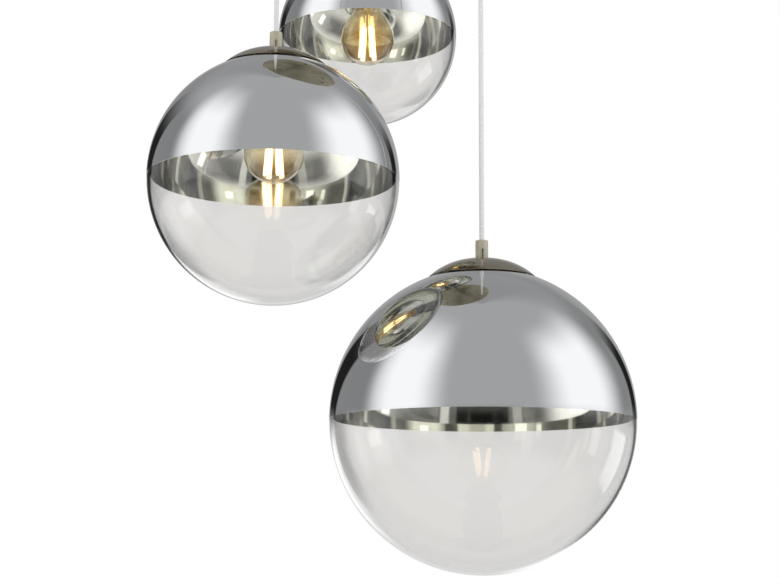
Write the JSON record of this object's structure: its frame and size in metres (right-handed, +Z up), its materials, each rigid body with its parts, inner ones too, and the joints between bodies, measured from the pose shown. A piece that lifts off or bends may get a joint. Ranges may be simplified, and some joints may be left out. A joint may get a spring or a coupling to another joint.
{
  "type": "bubble chandelier",
  "caption": "Ceiling light with half-mirrored clear glass balls of stepped sizes, hung on clear cords from a round satin nickel canopy.",
  "frame": {"origin": "on the ceiling, at the middle of the ceiling bracket's upper face, on the canopy's axis", "axes": "+Z up into the ceiling, +X along the bracket, -Y towards the front, where the large and medium balls hang"},
  "size_m": [0.4828, 0.43, 0.855],
  "materials": {
    "satin_nickel": "satin nickel plate, softly brushed",
    "zinc_steel": "zinc plated steel",
    "spring_steel": "bright spring steel",
    "mirror_film": "bright chrome film on the outside of the glass",
    "clear_glass": "clear blown glass, faintly grey",
    "bulb_glass": "thin clear glass",
    "bulb_metal": "plated screw shell",
    "contact_brass": "plain brass",
    "lit_phosphor": "warm lit phosphor sticks on a glass stem",
    "clear_cable": "clear sheathed round cable",
    "clear_plastic": "clear moulded plastic, slightly yellow",
    "white_nylon": "white nylon",
    "holder_plastic": "white heat-proof plastic",
    "ceramic": "white ceramic"
  },
  "bodies": {
    "ceiling_mount": {"ceiling_bracket": "zinc_steel", "left_stud": "zinc_steel", "right_stud": "zinc_steel"},
    "canopy": {"canopy": "satin_nickel", "terminal_block": "white_nylon", "large_canopy_grip": "satin_nickel", "large_grip_nut": "zinc_steel", "large_cord_tail": "clear_cable", "medium_canopy_grip": "satin_nickel", "medium_grip_nut": "zinc_steel", "medium_cord_tail": "clear_cable", "small_canopy_grip": "satin_nickel", "small_grip_nut": "zinc_steel", "small_cord_tail": "clear_cable"},
    "left_washer": {"left_washer": "satin_nickel"},
    "left_cap_nut": {"left_cap_nut": "satin_nickel"},
    "right_washer": {"right_washer": "satin_nickel"},
    "right_cap_nut": {"right_cap_nut": "satin_nickel"},
    "large_bush": {"large_cord_bush": "white_nylon"},
    "large_cord": {"large_cord": "clear_cable"},
    "large_head": {"large_cord_grip": "clear_plastic", "large_grip_screw": "clear_plastic", "large_cap": "satin_nickel", "large_spring_carrier": "spring_steel", "large_lamp_holder": "holder_plastic", "large_contact_block": "ceramic"},
    "large_ball": {"large_glass_ball": "clear_glass", "large_mirror_film": "mirror_film"},
    "large_bulb_tip": {"large_bulb_tip": "contact_brass"},
    "large_bulb": {"large_bulb_base": "bulb_metal", "large_bulb_glass": "bulb_glass", "large_bulb_filament": "lit_phosphor"},
    "medium_bush": {"medium_cord_bush": "white_nylon"},
    "medium_cord": {"medium_cord": "clear_cable"},
    "medium_head": {"medium_cord_grip": "clear_plastic", "medium_grip_screw": "clear_plastic", "medium_cap": "satin_nickel", "medium_spring_carrier": "spring_steel", "medium_lamp_holder": "holder_plastic", "medium_contact_block": "ceramic"},
    "medium_ball": {"medium_glass_ball": "clear_glass", "medium_mirror_film": "mirror_film"},
    "medium_bulb_tip": {"medium_bulb_tip": "contact_brass"},
    "medium_bulb": {"medium_bulb_base": "bulb_metal", "medium_bulb_glass": "bulb_glass", "medium_bulb_filament": "lit_phosphor"},
    "small_bush": {"small_cord_bush": "white_nylon"},
    "small_cord": {"small_cord": "clear_cable"},
    "small_head": {"small_cord_grip": "clear_plastic", "small_grip_screw": "clear_plastic", "small_cap": "satin_nickel", "small_spring_carrier": "spring_steel", "small_lamp_holder": "holder_plastic", "small_contact_block": "ceramic"},
    "small_ball": {"small_glass_ball": "clear_glass", "small_mirror_film": "mirror_film"},
    "small_bulb_tip": {"small_bulb_tip": "contact_brass"},
    "small_bulb": {"small_bulb_base": "bulb_metal", "small_bulb_glass": "bulb_glass", "small_bulb_filament": "lit_phosphor"}
  },
  "joints": [
    {"name": "canopy_drop", "type": "slide", "parent": "ceiling_mount", "child": "canopy", "axis": [0, 0, -1], "range_m": [0, 0.06]},
    {"name": "left_nut_travel", "type": "slide", "parent": "canopy", "child": "left_washer", "axis": [0, 0, -1], "range_m": [0, 0.0071]},
    {"name": "left_nut_turn", "type": "hinge", "parent": "left_washer", "child": "left_cap_nut", "pos_m": [-0.09, 0, -0.0319], "axis": [0, 0, -1], "range_deg": [0, 3600]},
    {"name": "right_nut_travel", "type": "slide", "parent": "canopy", "child": "right_washer", "axis": [0, 0, -1], "range_m": [0, 0.0071]},
    {"name": "right_nut_turn", "type": "hinge", "parent": "right_washer", "child": "right_cap_nut", "pos_m": [0.09, 0, -0.0319], "axis": [0, 0, -1], "range_deg": [0, 3600]},
    {"name": "large_swing_out", "type": "hinge", "parent": "canopy", "child": "large_bush", "pos_m": [0.10392, -0.06, -0.0468], "axis": [-0.5, -0.866, 0], "range_deg": [-3, 20]},
    {"name": "large_swing_side", "type": "hinge", "parent": "large_bush", "child": "large_cord", "pos_m": [0.10392, -0.06, -0.0468], "axis": [0.866, -0.5, 0], "range_deg": [-15, 15]},
    {"name": "large_twist", "type": "hinge", "parent": "large_cord", "child": "large_head", "pos_m": [0.10392, -0.06, -0.5271], "axis": [0, 0, 1], "range_deg": [-180, 180]},
    {"name": "large_ball_drop", "type": "slide", "parent": "large_head", "child": "large_ball", "axis": [0, 0, -1], "range_m": [0, 0.2]},
    {"name": "large_bulb_travel", "type": "slide", "parent": "large_head", "child": "large_bulb_tip", "axis": [0, 0, -1], "range_m": [0, 0.0219]},
    {"name": "large_bulb_turn", "type": "hinge", "parent": "large_bulb_tip", "child": "large_bulb", "pos_m": [0.10392, -0.06, -0.5795], "axis": [0, 0, -1], "range_deg": [0, 2160]},
    {"name": "medium_swing_out", "type": "hinge", "parent": "canopy", "child": "medium_bush", "pos_m": [-0.10392, -0.06, -0.0468], "axis": [-0.5, 0.866, 0], "range_deg": [-3, 20]},
    {"name": "medium_swing_side", "type": "hinge", "parent": "medium_bush", "child": "medium_cord", "pos_m": [-0.10392, -0.06, -0.0468], "axis": [-0.866, -0.5, 0], "range_deg": [-15, 15]},
    {"name": "medium_twist", "type": "hinge", "parent": "medium_cord", "child": "medium_head", "pos_m": [-0.10392, -0.06, -0.3181], "axis": [0, 0, 1], "range_deg": [-180, 180]},
    {"name": "medium_ball_drop", "type": "slide", "parent": "medium_head", "child": "medium_ball", "axis": [0, 0, -1], "range_m": [0, 0.05]},
    {"name": "medium_bulb_travel", "type": "slide", "parent": "medium_head", "child": "medium_bulb_tip", "axis": [0, 0, -1], "range_m": [0, 0.0219]},
    {"name": "medium_bulb_turn", "type": "hinge", "parent": "medium_bulb_tip", "child": "medium_bulb", "pos_m": [-0.10392, -0.06, -0.3705], "axis": [0, 0, -1], "range_deg": [0, 2160]},
    {"name": "small_swing_out", "type": "hinge", "parent": "canopy", "child": "small_bush", "pos_m": [0, 0.12, -0.0468], "axis": [1, 0, 0], "range_deg": [-3, 20]},
    {"name": "small_swing_side", "type": "hinge", "parent": "small_bush", "child": "small_cord", "pos_m": [0, 0.12, -0.0468], "axis": [0, 1, 0], "range_deg": [-15, 15]},
    {"name": "small_twist", "type": "hinge", "parent": "small_cord", "child": "small_head", "pos_m": [0, 0.12, -0.1371], "axis": [0, 0, 1], "range_deg": [-180, 180]},
    {"name": "small_ball_drop", "type": "slide", "parent": "small_head", "child": "small_ball", "axis": [0, 0, -1], "range_m": [0, 0.11]},
    {"name": "small_bulb_travel", "type": "slide", "parent": "small_head", "child": "small_bulb_tip", "axis": [0, 0, -1], "range_m": [0, 0.0219]},
    {"name": "small_bulb_turn", "type": "hinge", "parent": "small_bulb_tip", "child": "small_bulb", "pos_m": [0, 0.12, -0.1895], "axis": [0, 0, -1], "range_deg": [0, 2160]}
  ],
  "couplings": [
    {"joint": "left_nut_travel", "follows": "left_nut_turn", "m_per_rad": 0.00011141},
    {"joint": "right_nut_travel", "follows": "right_nut_turn", "m_per_rad": 0.00011141},
    {"joint": "large_bulb_travel", "follows": "large_bulb_turn", "m_per_rad": 0.00057757},
    {"joint": "medium_bulb_travel", "follows": "medium_bulb_turn", "m_per_rad": 0.00057757},
    {"joint": "small_bulb_travel", "follows": "small_bulb_turn", "m_per_rad": 0.00057757}
  ]
}
